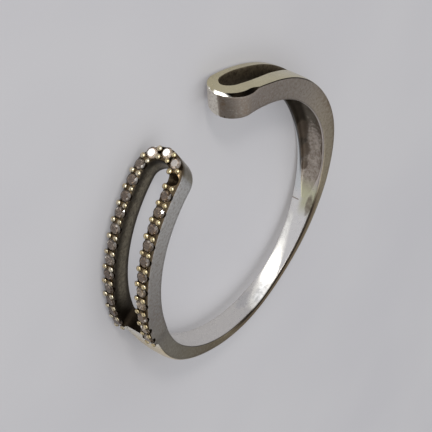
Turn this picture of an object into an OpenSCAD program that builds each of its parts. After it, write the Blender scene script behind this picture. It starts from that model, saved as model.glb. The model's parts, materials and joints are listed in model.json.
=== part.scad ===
// Open cuff ring: a silver band whose two ends are slotted loops with a gap between them.
// One loop is set with a U of small round stones, the other is plain.
// The band is one casting; each stone is a piece of its own.
// Angles run counter-clockwise round the ring's axis from the middle of the gap, which faces -Y.

/* [Band] */
// Inside diameter of the ring
inside_d = 17; // [15:0.5:21]
// Angle at which the jewelled end stands
jewelled_tip = 12.9; // [11:0.1:14]
// Angle at which the plain end stands
plain_tip = 347.5; // [345:0.1:349]
// Angle over which the jewelled end's outline rounds off
jewelled_nose = 9.5; // [7:0.5:12]
// Angle over which the plain end's outline rounds off
plain_nose = 8.5; // [6:0.5:11]
// Width of the small flat along the band's inner edges
inner_bevel = 0.07; // [0.03:0.01:0.12]
// Size of the flat on the plain end's outer near edge
end_bevel = 0.24; // [0.1:0.05:0.4]

/* [Slots] */
// Width of one jewelled rail at its top
rail_w = 0.84; // [0.8:0.02:0.9]
// Angle at which the jewelled slot starts behind the tip
slot_start = 17.9; // [17.5:0.1:19]
// Angle of the jewelled slot's blunt foot
slot_foot = 88.2; // [86:0.2:90]
// How much wider the jewelled slot is at the inner face, on each side
slot_flare = 0.2; // [0:0.05:0.3]
// How far the foot of each jewelled rail stands over the shank
foot_rise = 0.18; // [0:0.02:0.24]
// Deepest cut of the hollow inside the plain shoulder
hollow_depth = 0.68; // [0.3:0.02:0.8]

/* [Stones] */
// Diameter of a stone at its girdle
stone_d = 0.88; // [0.8:0.02:0.9]
// Free space between a stone and its seat
seat_gap = 0.02; // [0.02:0.005:0.03]
// Stones on each straight row
row_stones = 11; // [8:1:11]
// Angle of the first stone of each row
row_start = 27.6; // [27:0.1:28.5]
// Angle from one row stone to the next
row_pitch = 5.93; // [5.9:0.01:6.1]
// Which seat has lost its stone, counted from the foot of the near row
empty_seat = 12; // [1:1:27]
// Height of the table over the rail
table_rise = 0.05; // [0:0.01:0.1]

/* [Prongs] */
// Diameter of a prong bead
bead_d = 0.3; // [0.24:0.01:0.32]
// Height of a bead over the rail
bead_rise = 0.15; // [0.1:0.01:0.2]
// Distance of a bead from the middle of the row
bead_side = 0.36; // [0.35:0.01:0.38]

/* [Rest] */
// Lean of the ring as it lies, about the line from side to side
lean_x = -1.23; // [-5:0.01:5]
// Lean of the ring as it lies, about the line from gap to shank
lean_y = -1.39; // [-5:0.01:5]
// Shift that puts the middle of its outline at the origin, side to side
shift_x = -0.056; // [-1:0.001:1]
// Shift that puts the middle of its outline at the origin, gap to shank
shift_y = 0.384; // [-1:0.001:1]
// Height of the ring's middle over the ground
lift = 1.521; // [1:0.001:3]

/* [Hidden] */
inside_r = inside_d / 2;
stone_r = stone_d / 2;
seat_r = stone_r + seat_gap;
seat_count = 2 * row_stones + 5;
seat_sides = 12;

// The band's section round the ring. Columns: angle, half the width, thickness, how far the outer face
// has dropped at its edges, how flat that face is (a power), how far the inner face stands off the true
// circle, because the ring is worn a little out of round, and how far the section lies to the near side.
ANGLE = 0; HALF = 1; THICK = 2; DROP = 3; FLAT = 4; BENT = 5; ASIDE = 6;
section = [
  [12.9, 1.68, 1.60, 0.04, 8, 0.03, 0],
  [31.6, 1.68, 1.46, 0.04, 8, 0.06, 0],
  [58.6, 1.68, 1.36, 0.04, 8, 0.06, 0],
  [78, 1.68, 1.31, 0.04, 8, 0.02, 0],
  [84, 1.68, 1.27, 0.04, 8, 0, 0],
  [88.4, 1.64, 1.23, 0.05, 8, -0.01, 0.01],
  [91.5, 1.50, 1.18, 0.08, 6, -0.03, 0.07],
  [97, 1.35, 1.16, 0.12, 4, -0.05, 0.13],
  [106, 1.22, 1.18, 0.16, 3, -0.06, 0.11],
  [116.6, 1.10, 1.20, 0.21, 2.6, -0.07, 0.05],
  [130, 1.00, 1.06, 0.24, 2.4, -0.05, 0],
  [143.6, 0.90, 0.91, 0.24, 2.3, -0.03, 0],
  [168.6, 0.76, 0.83, 0.24, 2.2, 0, 0],
  [193.6, 0.66, 0.85, 0.24, 2.2, 0, 0],
  [218.6, 0.79, 0.98, 0.22, 2.3, 0, 0],
  [243.6, 1.02, 1.16, 0.17, 3, 0.03, 0],
  [270.6, 1.28, 1.38, 0.10, 4, 0.09, 0],
  [298.6, 1.35, 1.51, 0.07, 6, 0.04, 0],
  [325.6, 1.48, 1.53, 0.05, 6, 0, 0],
  [335.6, 1.48, 1.64, 0.05, 6, 0, 0],
  [347.5, 1.48, 1.84, 0.05, 6, 0, 0],
];

// The plain loop's slot. Columns: angle, near edge, far edge, both from the ring's middle plane.
NEAR = 1; FAR = 2;
plain_slot = [
  [294.5, -0.50, -0.56],
  [298, -0.36, -0.66],
  [303, -0.15, -0.76],
  [308.4, 0.08, -0.80],
  [315, 0.32, -0.84],
  [322.6, 0.46, -0.88],
  [328.6, 0.54, -0.94],
  [333.6, 0.53, -0.96],
  [337.3, 0.42, -0.90],
  [340, 0.24, -0.74],
  [341.6, 0.00, -0.58],
  [342.3, -0.22, -0.34],
];

// The hollow inside the plain shoulder. Columns: angle, near edge, far edge, share of the full depth.
DEEP = 3;
hollow = [
  [228.6, 0.00, -0.12, 0.05],
  [232, 0.34, -0.30, 0.20],
  [236, 0.55, -0.46, 0.34],
  [242, 0.74, -0.55, 0.50],
  [249, 0.88, -0.66, 0.64],
  [256, 0.97, -0.83, 0.76],
  [264, 1.04, -0.92, 0.86],
  [276, 1.09, -1.00, 0.96],
  [288, 1.10, -1.03, 1],
  [298, 1.04, -1.02, 1],
  [303, 0.90, -0.96, 1],
  [306, 0.60, -0.86, 1],
];

// Smooth value of one column of a table at angle a: a cubic through its rows.
function row_at(a, t, i = 0) = i >= len(t) - 2 || a < t[i + 1][0] ? i : row_at(a, t, i + 1);
function slope(t, i, c) =
  let (p = max(i - 1, 0), n = min(i + 1, len(t) - 1)) (t[n][c] - t[p][c]) / (t[n][0] - t[p][0]);
function value(a, t, c) =
  let (i = row_at(a, t), h = t[i + 1][0] - t[i][0], s = min(max((a - t[i][0]) / h, 0), 1))
  (1 + 2 * s) * pow(1 - s, 2) * t[i][c] + s * pow(1 - s, 2) * h * slope(t, i, c)
  + s * s * (3 - 2 * s) * t[i + 1][c] - s * s * (1 - s) * h * slope(t, i + 1, c);

// A place in the ring: angle, distance from the axis, height over the middle plane.
function place(a, r, z) = [r * cos(a - 90), r * sin(a - 90), z];
function face_r(a) = inside_r + value(a, section, BENT);
function outside_r(a) = face_r(a) + value(a, section, THICK);
// The foot of each rail stands up from the shank behind it.
function step_up(s) = let (t = min(max(s, 0), 1)) t * t * (3 - 2 * t);
function rail_rise(a) = foot_rise * step_up((a - 66) / 18) * step_up((slot_foot + 4 - a) / 2.6);
function rail_r(a) = outside_r(a) + rail_rise(a);
function round_off(s) = s >= 1 ? 1 : sqrt(max(0, 1 - pow(1 - max(s, 0), 2)));
function half_width(a) = value(a, section, HALF)
  * max(0.07, round_off((a - jewelled_tip) / jewelled_nose) * round_off((plain_tip - a) / plain_nose));

// Stations round the band: close together where the ends round off, between the seats on the rails,
// and even along the shank.
nose_steps = 8;
shank_steps = 58;
rail_start = row_start - row_pitch / 2;
rail_end = rail_start + row_pitch * row_stones;
body_end = plain_tip - plain_nose;
band_stations = concat(
  [for (i = [0 : nose_steps]) jewelled_tip + jewelled_nose * (1 - cos(90 * i / nose_steps))],
  [for (i = [0 : row_stones - 1]) rail_start + row_pitch * i],
  [for (i = [0 : shank_steps]) rail_end + (body_end - rail_end) * i / shank_steps],
  [for (i = [nose_steps - 1 : -1 : 0]) plain_tip - plain_nose * (1 - cos(90 * i / nose_steps))]
);

// The flat on the near outer edge runs over the last stretch of the plain end only.
function end_flat(a) = end_bevel * (a < 333.6 ? 0 : a < 335.4 ? (a - 333.6) / 1.8 : 1);

// Outline of the band's section, across the ring: outer face from far to near, then the inner face back.
// On the jewelled loop the rails' tops begin just inside the slot.
function face_points(a) = let (rail = a < 91)
  [-1, rail ? -0.9 : -0.93, rail ? -0.45 : -0.76, -0.38, 0, 0.38, rail ? 0.45 : 0.72, rail ? 0.9 : 0.92, 1];
function edge_drop(a, u) = value(a, section, DROP) * pow(abs(u), value(a, section, FLAT))
  + end_flat(a) * max(0, (u - 0.72) / 0.28) * min(1, half_width(a) / 0.8);
function band_ring(a) =
  let (w = half_width(a), m = value(a, section, ASIDE), ri = face_r(a), ro = outside_r(a),
       b = min(inner_bevel, w / 3))
  concat(
    [for (u = face_points(a)) place(a, ro - edge_drop(a, u) + (abs(u) > 0.42 ? rail_rise(a) : 0), m + u * w)],
    [place(a, ri + b, m + w), place(a, ri, m + w - b), place(a, ri, m - w + b), place(a, ri + b, m - w)]
  );

// A closed solid through rings of points, each ring in a plane that holds the axis.
module sweep(rings) {
  n = len(rings[0]);
  m = len(rings);
  sides = [for (i = [0 : m - 2]) for (j = [0 : n - 1])
    let (p = i * n + j, q = i * n + (j + 1) % n) [p, q, q + n, p + n]];
  halves = [for (f = sides) each [[f[0], f[1], f[2]], [f[0], f[2], f[3]]]];
  first = [for (j = [n - 1 : -1 : 0]) j];
  last = [for (j = [0 : n - 1]) (m - 1) * n + j];
  polyhedron([for (r = rings) each r], concat(halves, [first, last]));
}

module band_body() { sweep([for (a = band_stations) band_ring(a)]); }

// A cutter between two edges, from one radius to another; it is wider inside by flare on each side.
function cutter_ring(a, near, far, r_in, r_out, flare = 0) =
  [place(a, r_in, far - flare), place(a, r_out, far), place(a, r_out, near), place(a, r_in, near + flare)];

slot_round = 5.5;
foot_round = 2.4;
slot_half = 0.83;
function slot_shape(a) = slot_half * max(0.06, round_off((a - slot_start) / slot_round))
  * (0.35 + 0.65 * round_off((slot_foot - a) / foot_round));
slot_steps = concat(
  [for (i = [0 : 5]) slot_start + slot_round * (1 - cos(90 * i / 6))],
  [for (i = [0 : 7]) slot_start + slot_round + (slot_foot - foot_round - slot_start - slot_round) * i / 7],
  [for (i = [4 : -1 : 0]) slot_foot - foot_round * (1 - cos(90 * i / 5))]
);
module jewelled_slot() {
  sweep([for (a = slot_steps) let (w = slot_shape(a))
    cutter_ring(a, w, -w, inside_r - 1, inside_r + 3, slot_flare * w / slot_half)]);
}

module plain_slot_cut() {
  first = plain_slot[0][0];
  last = plain_slot[len(plain_slot) - 1][0];
  steps = 30;
  sweep([for (i = [0 : steps]) let (a = first + (last - first) * sin(90 * i / steps))
    cutter_ring(a, value(a, plain_slot, NEAR), value(a, plain_slot, FAR), inside_r - 1, inside_r + 3.5)]);
}

module shoulder_hollow() {
  first = hollow[0][0];
  last = hollow[len(hollow) - 1][0];
  steps = 26;
  sweep([for (i = [0 : steps]) let (a = first + (last - first) * i / steps)
    cutter_ring(a, value(a, hollow, NEAR), value(a, hollow, FAR), inside_r - 1,
      face_r(a) + hollow_depth * value(a, hollow, DEEP))]);
}

// Seats in order along the U of stones: up the near row, round the tip, down the far row.
tip_seats = [[22.1, 1.26], [17.1, 0.90], [14.9, 0], [17.1, -0.90], [22.1, -1.26]];
// Middle of a row: side is 1 on the near rail and -1 on the far one.
function row_z(a, side) = value(a, section, ASIDE) + side * (value(a, section, HALF) - rail_w / 2 + 0.02);
function seat(i) =
  i < row_stones ? let (a = row_start + (row_stones - 1 - i) * row_pitch) [a, row_z(a, 1)]
  : i < row_stones + 5 ? tip_seats[i - row_stones]
  : let (a = row_start + (i - row_stones - 5) * row_pitch) [a, row_z(a, -1)];
seats = [for (i = [0 : seat_count - 1]) seat(i)];

// Carries a piece made with its axis up and the rail's top at zero to a place on the outer face.
module on_rail(a, z) {
  rotate([0, 0, a - 90]) translate([rail_r(a), 0, z]) rotate([0, 90, 0]) children();
}

seat_depth = 0.62;
seat_corner = seat_r / cos(180 / seat_sides);
// A round notch across the rail shows the side of each stone.
notch_r = 0.22;
module seat_cut() {
  translate([0, 0, -0.06]) rotate([0, 90, 0]) cylinder(h = rail_w + 0.3, r = notch_r, center = true, $fn = 8);
  rotate([0, 0, 180 / seat_sides]) {
    translate([0, 0, -0.16]) cylinder(h = 0.8, r = seat_corner, $fn = seat_sides);
    translate([0, 0, -seat_depth]) cylinder(h = seat_depth - 0.16, r1 = 0.1, r2 = seat_corner, $fn = seat_sides);
  }
}

// A prong: a short post with a round head.
bead_sides = 8;
module bead() {
  r = bead_d / 2;
  rotate([0, 0, 180 / bead_sides]) hull() {
    translate([0, 0, -0.2]) cylinder(h = 0.2 + bead_rise * 0.45, r = r, $fn = bead_sides);
    cylinder(h = bead_rise * 0.8, r = r * 0.76, $fn = bead_sides);
    cylinder(h = bead_rise, r = r * 0.4, $fn = bead_sides);
  }
}

// Where beads stand: a pair between every two seats, and a pair past the last seat of each row.
// A bead stands clear of the stones on both sides of it, so a pair is wider where seats lie closer.
function step_of(p, q) = [(q[0] - p[0]) * PI / 180 * rail_r((p[0] + q[0]) / 2), q[1] - p[1]];
function pair_of(p, q, m) =
  let (d = step_of(p, q), l = norm(d), clear = seat_corner + 0.004 + bead_d / 2,
       side = max(bead_side, sqrt(max(0, clear * clear - l * l / 4))),
       turn = 180 / PI / rail_r(m[0]))
  [for (s = [-side, side]) [m[0] - d[1] / l * s * turn, m[1] + d[0] / l * s]];
function past(p, q) = p + (p - q) * 0.52;
last_seat = seat_count - 1;
bead_places = concat(
  pair_of(seats[0], seats[1], past(seats[0], seats[1])),
  [for (i = [0 : last_seat - 1]) each pair_of(seats[i], seats[i + 1], (seats[i] + seats[i + 1]) / 2)],
  pair_of(seats[last_seat - 1], seats[last_seat], past(seats[last_seat], seats[last_seat - 1]))
);

module band_metal() {
  difference() {
    band_body();
    jewelled_slot();
    plain_slot_cut();
    shoulder_hollow();
    for (s = seats) on_rail(s[0], s[1]) seat_cut();
  }
  for (b = bead_places) on_rail(b[0], b[1]) bead();
}

// A round brilliant with its girdle at zero: table, eight crown corners, girdle and point.
table_share = 0.56;
crown_h = 0.15;
point_h = 0.37;
girdle_h = 0.02;
girdle_sides = 16;
function ring_of(n, r, z, turn = 0) = [for (i = [0 : n - 1]) [r * cos(360 * i / n + turn), r * sin(360 * i / n + turn), z]];
module brilliant() {
  corner_h = girdle_h + (crown_h - girdle_h) * 0.62;
  points = concat(
    ring_of(8, stone_r * table_share, crown_h, 22.5),
    ring_of(8, stone_r * 0.79, corner_h),
    ring_of(girdle_sides, stone_r, girdle_h),
    ring_of(girdle_sides, stone_r, 0),
    ring_of(8, stone_r * 0.42, -point_h * 0.6),
    [[0, 0, -point_h]]
  );
  hull() polyhedron(points, [[for (i = [0 : len(points) - 1]) i]]);
}

// The ring as it lies: far side down, leaning on both loops and the back of the shank.
module lying() { translate([shift_x, shift_y, lift]) rotate([lean_x, lean_y, 0]) children(); }

module band() { color("silver") lying() band_metal(); }

// Stones are numbered along the U, past the empty seat.
function stone_seat(k) = k < empty_seat ? k : k + 1;
module stone(k) {
  s = seats[stone_seat(k) - 1];
  color("gainsboro") lying() on_rail(s[0], s[1]) translate([0, 0, table_rise - crown_h]) brilliant();
}

stone_count = seat_count - 1;
function stone_name(k) = str("stone_", k < 10 ? "0" : "", k);

band();
for (k = [1 : stone_count]) stone(k);
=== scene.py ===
import json
import math
import bmesh
import bpy
import numpy as np
from mathutils import Euler, Matrix, Vector

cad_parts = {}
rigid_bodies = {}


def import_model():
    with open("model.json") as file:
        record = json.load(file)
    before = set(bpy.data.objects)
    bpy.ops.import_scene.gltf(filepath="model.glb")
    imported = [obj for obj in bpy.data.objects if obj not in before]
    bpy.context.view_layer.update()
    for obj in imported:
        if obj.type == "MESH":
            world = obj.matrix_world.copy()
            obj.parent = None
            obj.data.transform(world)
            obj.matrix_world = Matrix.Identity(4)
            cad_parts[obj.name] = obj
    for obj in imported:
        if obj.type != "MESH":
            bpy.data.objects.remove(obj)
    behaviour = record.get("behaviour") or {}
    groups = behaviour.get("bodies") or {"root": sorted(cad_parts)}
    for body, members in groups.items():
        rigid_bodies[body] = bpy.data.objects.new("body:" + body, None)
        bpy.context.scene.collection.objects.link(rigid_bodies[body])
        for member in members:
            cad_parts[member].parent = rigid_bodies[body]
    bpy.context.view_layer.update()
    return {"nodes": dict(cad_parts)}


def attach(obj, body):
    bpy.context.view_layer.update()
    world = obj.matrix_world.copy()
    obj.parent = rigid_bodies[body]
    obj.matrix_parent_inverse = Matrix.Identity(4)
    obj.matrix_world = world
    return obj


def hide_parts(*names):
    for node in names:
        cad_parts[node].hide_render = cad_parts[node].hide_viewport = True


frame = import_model()
print("frame loaded:", len(frame["nodes"]), "nodes")

# The ring's own sizes, in millimetres and degrees. Angles run counter-clockwise round the ring
# from the middle of the gap, which faces -Y; heights are over the ring's middle plane.
ring = {
    "insideRadius": 8.5,
    "jewelledTip": 12.9,     # where each end stops
    "plainTip": 347.5,
    "jewelledNose": 9.5,     # how long the rounding of each end is
    "plainNose": 8.5,
    "narrowest": 0.07,       # share of the width left at the very end
    "innerEdge": 0.09,
    "polishedOff": 0.008,    # worn off the whole outer face
    "endBevel": 0.22,        # the plain end's bevel: how deep, how wide, where it starts
    "bevelWidth": 0.25,
    "bevelStart": 332.6,
    "bevelRun": 5.2,
    "footRise": 0.18,        # the step up from the shank to the rails
    "footStart": 66,
    "footRun": 18,
    "footBack": 4.0,
    "footFade": 2.6,
    "tipCrown": 0.84,        # share of the rails' crown at the tip
    "lean": (math.radians(-1.23), math.radians(-1.39), 0.0),
    "shift": (-0.056, 0.384, 1.521),
}

# Round the ring: angle, half the width, thickness, drop of the outer face at its edges, how flat
# that face is, how far the inner face stands off the circle, how far the band lies to the near side.
halfOf, thickOf, dropOf, flatOf, bentOf, asideOf = range(1, 7)
section = np.array([
    [12.9, 1.68, 1.60, 0.04, 8, 0.03, 0],
    [31.6, 1.68, 1.46, 0.04, 8, 0.06, 0],
    [58.6, 1.68, 1.36, 0.04, 8, 0.06, 0],
    [78, 1.68, 1.31, 0.04, 8, 0.02, 0],
    [84, 1.68, 1.27, 0.04, 8, 0, 0],
    [88.4, 1.64, 1.23, 0.05, 8, -0.01, 0.01],
    [91.5, 1.50, 1.18, 0.08, 6, -0.03, 0.07],
    [97, 1.35, 1.16, 0.12, 4, -0.05, 0.13],
    [106, 1.22, 1.18, 0.16, 3, -0.06, 0.11],
    [116.6, 1.10, 1.20, 0.21, 2.6, -0.07, 0.05],
    [130, 1.00, 1.06, 0.24, 2.4, -0.05, 0],
    [143.6, 0.90, 0.91, 0.24, 2.3, -0.03, 0],
    [168.6, 0.76, 0.83, 0.24, 2.2, 0, 0],
    [193.6, 0.66, 0.85, 0.24, 2.2, 0, 0],
    [218.6, 0.79, 0.98, 0.22, 2.3, 0, 0],
    [243.6, 1.02, 1.16, 0.17, 3, 0.03, 0],
    [270.6, 1.28, 1.38, 0.10, 4, 0.09, 0],
    [298.6, 1.35, 1.51, 0.07, 6, 0.04, 0],
    [325.6, 1.48, 1.53, 0.05, 6, 0, 0],
    [335.6, 1.48, 1.64, 0.05, 6, 0, 0],
    [347.5, 1.48, 1.84, 0.05, 6, 0, 0],
])

# How rounded the band's outer edges are: angle, radius.
outerEdge = np.array([
    [12.9, 0.05], [92, 0.06], [104, 0.12], [125, 0.15], [235, 0.15], [262, 0.10], [290, 0.07], [347.5, 0.06],
])

# The plain loop's slot: angle, near edge, far edge.
plainSlot = np.array([
    [294.5, -0.50, -0.56], [298, -0.36, -0.66], [303, -0.15, -0.76], [308.4, 0.08, -0.80],
    [315, 0.32, -0.84], [322.6, 0.46, -0.88], [328.6, 0.54, -0.94], [333.6, 0.53, -0.96],
    [337.3, 0.42, -0.90], [340, 0.24, -0.74], [341.6, 0.00, -0.58], [342.3, -0.22, -0.34],
])

# The hollow inside the plain shoulder: angle, near edge, far edge, share of the full depth.
hollow = np.array([
    [228.6, 0, -0.12, 0.01], [232, 0.34, -0.30, 0.07], [236, 0.55, -0.46, 0.18], [242, 0.78, -0.57, 0.40],
    [249, 0.92, -0.70, 0.62], [256, 0.97, -0.83, 0.76], [264, 1.04, -0.92, 0.86], [276, 1.09, -1.00, 0.96],
    [288, 1.10, -1.03, 1], [298, 1.04, -1.02, 1], [303, 0.90, -0.96, 1], [306, 0.60, -0.86, 1],
])


def along(table, column, a):
    # smooth value of one column at angle a: a cubic through the rows
    x, y = table[:, 0], table[:, column]
    last = len(x) - 1
    a = np.asarray(a, float)
    i = np.clip(np.searchsorted(x, a, side="right") - 1, 0, last - 1)
    h = x[i + 1] - x[i]
    s = np.clip((a - x[i]) / h, 0, 1)
    before, after = np.maximum(np.arange(last + 1) - 1, 0), np.minimum(np.arange(last + 1) + 1, last)
    slope = (y[after] - y[before]) / (x[after] - x[before])
    return ((1 + 2 * s) * (1 - s) ** 2 * y[i] + s * (1 - s) ** 2 * h * slope[i]
            + s * s * (3 - 2 * s) * y[i + 1] - s * s * (1 - s) * h * slope[i + 1])


def eased(s):
    s = np.clip(s, 0, 1)
    return s * s * (3 - 2 * s)


def roundOff(s):
    return np.sqrt(np.maximum(0, 1 - (1 - np.clip(s, 0, 1)) ** 2))


def faceRadius(a):
    return ring["insideRadius"] + along(section, bentOf, a)


def outerRadius(a):
    return faceRadius(a) + along(section, thickOf, a) - ring["polishedOff"]


def railRise(a):
    begun = eased((a - ring["footStart"]) / ring["footRun"])
    ended = eased((jewelledSlot["foot"] + ring["footBack"] - a) / ring["footFade"])
    return ring["footRise"] * begun * ended


def railRadius(a):
    return outerRadius(a) + railRise(a)


def railCrown(a):
    # how far the middle of a jewelled rail stands over its edges, a little less at the tip
    atTip = ring["tipCrown"] + (1 - ring["tipCrown"]) * eased((a - 15) / 8)
    return (ring["footRise"] - railRise(a)) * (1 - eased((a - 84) / 4)) * atTip


def crownShare(inside):
    # highest half way across the rail, nothing at its edges
    t = (inside - stoneRow["railWidth"] / 2) / (stoneRow["railWidth"] / 2)
    return np.maximum(0, 1 - t * t)


def halfWidth(a):
    tip = roundOff((a - ring["jewelledTip"]) / ring["jewelledNose"])
    end = roundOff((ring["plainTip"] - a) / ring["plainNose"])
    return along(section, halfOf, a) * np.maximum(ring["narrowest"], tip * end)


def ringSpots(a, r, z):
    # points from angle, distance from the axis and height, still in millimetres and not leaning
    turn = np.radians(np.asarray(a, float) - 90)
    r = np.asarray(r, float)
    return np.stack([r * np.cos(turn), r * np.sin(turn), np.broadcast_to(z, turn.shape) + 0 * turn], -1)


leanMatrix = Euler(ring["lean"]).to_matrix()
layMatrix = Matrix.Translation(Vector(ring["shift"]) / 1000) @ leanMatrix.to_4x4() @ Matrix.Scale(0.001, 4)


def sceneObject(name, data):
    made = bpy.data.objects.new(name, data)
    bpy.context.scene.collection.objects.link(made)
    return made


def meshObject(name, points, faces, finishes=(), layIt=True):
    mesh = bpy.data.meshes.new(name)
    mesh.from_pydata([tuple(p) for p in points], [], [tuple(int(i) for i in f) for f in faces])
    if layIt:
        mesh.transform(layMatrix)
    for finish in finishes:
        mesh.materials.append(finish)
    mesh.update()
    return sceneObject(name, mesh)


def dropObject(thing):
    mesh = thing.data
    bpy.data.objects.remove(thing)
    bpy.data.meshes.remove(mesh)


def changedMesh(thing):
    # the mesh that an object's modifiers leave
    return bpy.data.meshes.new_from_object(thing.evaluated_get(bpy.context.evaluated_depsgraph_get()))


def mark(thing, label, values, domain="POINT"):
    # one number or vector on each point, face or corner
    values = np.array(values, np.float32)
    kind, field = ("FLOAT", "value") if values.ndim == 1 else ("FLOAT_VECTOR", "vector")
    thing.data.attributes.new(label, kind, domain).data.foreach_set(field, values.ravel())


def smooth(mesh, degrees):
    # smooth faces, and sharp edges where they turn by more than this
    mesh.polygons.foreach_set("use_smooth", [True] * len(mesh.polygons))
    mesh.set_sharp_from_angle(angle=math.radians(degrees))


# Shader maths: a Value is one socket, and arithmetic on it adds nodes to its finish.
class Value:
    def __init__(self, finish, socket):
        self.finish, self.socket = finish, socket

    def maths(self, operation, *values):
        return self.finish.node("ShaderNodeMath", {"operation": operation}, values)

    def __add__(self, other):
        return self.maths("ADD", self, other)

    def __radd__(self, other):
        return self.maths("ADD", other, self)

    def __sub__(self, other):
        return self.maths("SUBTRACT", self, other)

    def __rsub__(self, other):
        return self.maths("SUBTRACT", other, self)

    def __mul__(self, other):
        return self.maths("MULTIPLY", self, other)

    def __rmul__(self, other):
        return self.maths("MULTIPLY", other, self)

    def __truediv__(self, other):
        return self.maths("DIVIDE", self, other)

    def atMost(self, other):
        return self.maths("MINIMUM", self, other)

    def atLeast(self, other):
        return self.maths("MAXIMUM", self, other)

    def rising(self, low, high, first=0.0, last=1.0):
        # smooth step from one value to another as this goes from low to high
        settings = {"interpolation_type": "SMOOTHSTEP"}
        return self.finish.node("ShaderNodeMapRange", settings, [self, low, high, first, last])

    def falling(self, low, high):
        return self.rising(low, high, 1.0, 0.0)

    def between(self, low, high, soft):
        return self.rising(low - soft, low + soft) * self.falling(high - soft, high + soft)


class Finish:
    def __init__(self, name, palette=(), owner=None):
        self.material = owner or bpy.data.materials.new(name)
        self.palette = palette
        self.material.use_nodes = True
        self.tree = self.material.node_tree
        self.tree.nodes.clear()
        self.mapped = {}

    def node(self, kind, settings=None, sockets=(), output=0):
        made = self.tree.nodes.new(kind)
        for key, value in (settings or {}).items():
            if key == "stops":
                while len(made.color_ramp.elements) < len(value):
                    made.color_ramp.elements.new(0.5)
                for stop, (place, tint) in zip(made.color_ramp.elements, value):
                    stop.position, stop.color = place, tint
            else:
                setattr(made, key, value)
        for key, value in (sockets.items() if isinstance(sockets, dict) else enumerate(sockets)):
            if isinstance(value, Value):
                self.tree.links.new(value.socket, made.inputs[key])
            else:
                made.inputs[key].default_value = value
        return Value(self, made.outputs[output]) if len(made.outputs) else None

    def ringPoint(self):
        # the point in the ring's own millimetres, with the lean and shift taken off
        if "point" not in self.mapped:
            self.mapped["point"] = self.node("ShaderNodeMapping", {"vector_type": "TEXTURE"}, {
                "Vector": self.node("ShaderNodeTexCoord", output=3), "Location": Vector(ring["shift"]) / 1000,
                "Rotation": ring["lean"], "Scale": (0.001,) * 3})
        return self.mapped["point"]

    def parts(self, vector):
        split = self.node("ShaderNodeSeparateXYZ", sockets=[vector]).socket.node
        return [Value(self, s) for s in split.outputs]

    def ringCoords(self):
        # angle round the ring, distance from the axis, height over the middle plane
        if "coords" not in self.mapped:
            x, y, z = self.parts(self.ringPoint())
            a = x.maths("ARCTAN2", x, y * -1) * (180 / math.pi)
            a = a.maths("FLOORED_MODULO", a, 360)
            r = x.maths("SQRT", x * x + y * y)
            self.mapped["coords"] = (a, r, z)
        return self.mapped["coords"]

    def angleAndHeight(self):
        return self.ringCoords()[::2]

    def given(self, label, output=2):
        # what the mesh carries under this label
        return self.node("ShaderNodeAttribute", {"attribute_name": label}, output=output)

    def noise(self, scale, detail=3.0, rough=0.5, twist=0.0, vector=None):
        return self.node("ShaderNodeTexNoise", {"noise_dimensions": "3D"}, {
            "Vector": vector or self.ringPoint(), "Scale": scale, "Detail": detail, "Roughness": rough,
            "Distortion": twist})

    def patch(self, angle, height, angleSpan, heightSpan, ragged=0.9):
        # a soft, ragged patch round one place on the ring
        a, z = self.angleAndHeight()
        aside, up = (a - angle) * (1 / angleSpan), (z - height) * (1 / heightSpan)
        far = aside * aside + up * up + (self.noise(3.2, 3.0, 0.6) - 0.5) * (2 * ragged)
        return far.falling(0.35, 1.1)

    def tilted(self, share):
        # the surface's own normal, leaning up by a share
        own = self.node("ShaderNodeNewGeometry", output=1)
        up = self.node("ShaderNodeCombineXYZ", None, [0.0, 0.0, share])
        total = self.node("ShaderNodeVectorMath", {"operation": "ADD"}, [own, up])
        return self.node("ShaderNodeVectorMath", {"operation": "NORMALIZE"}, [total])

    def blend(self, share, first, second):
        # colour from first to second by share; a word stands for a colour of the finish's dictionary
        first, second = (colour(*self.palette[c]) if isinstance(c, str) else c for c in (first, second))
        return self.node("ShaderNodeMix", {"data_type": "RGBA"}, {0: share, 6: first, 7: second}, 2)

    def painted(self, base, *coats):
        # colours laid over a base one after another, each by its share
        for share, tint in coats:
            base = self.blend(share, base, tint)
        return base

    def bump(self, height, strength, distance, normal=None):
        sockets = {"Strength": strength, "Distance": distance, "Height": height}
        if normal:
            sockets["Normal"] = normal
        return self.node("ShaderNodeBump", None, sockets)

    def metal(self, base, roughness, normal, metallic=1.0):
        return self.node("ShaderNodeBsdfPrincipled", None, {
            "Base Color": base, "Metallic": metallic, "Roughness": roughness, "Normal": normal})

    def surface(self, shader):
        self.node("ShaderNodeOutputMaterial", None, {"Surface": shader})
        return self.material


def colour(red, green, blue):
    return (red, green, blue, 1.0)


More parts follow.
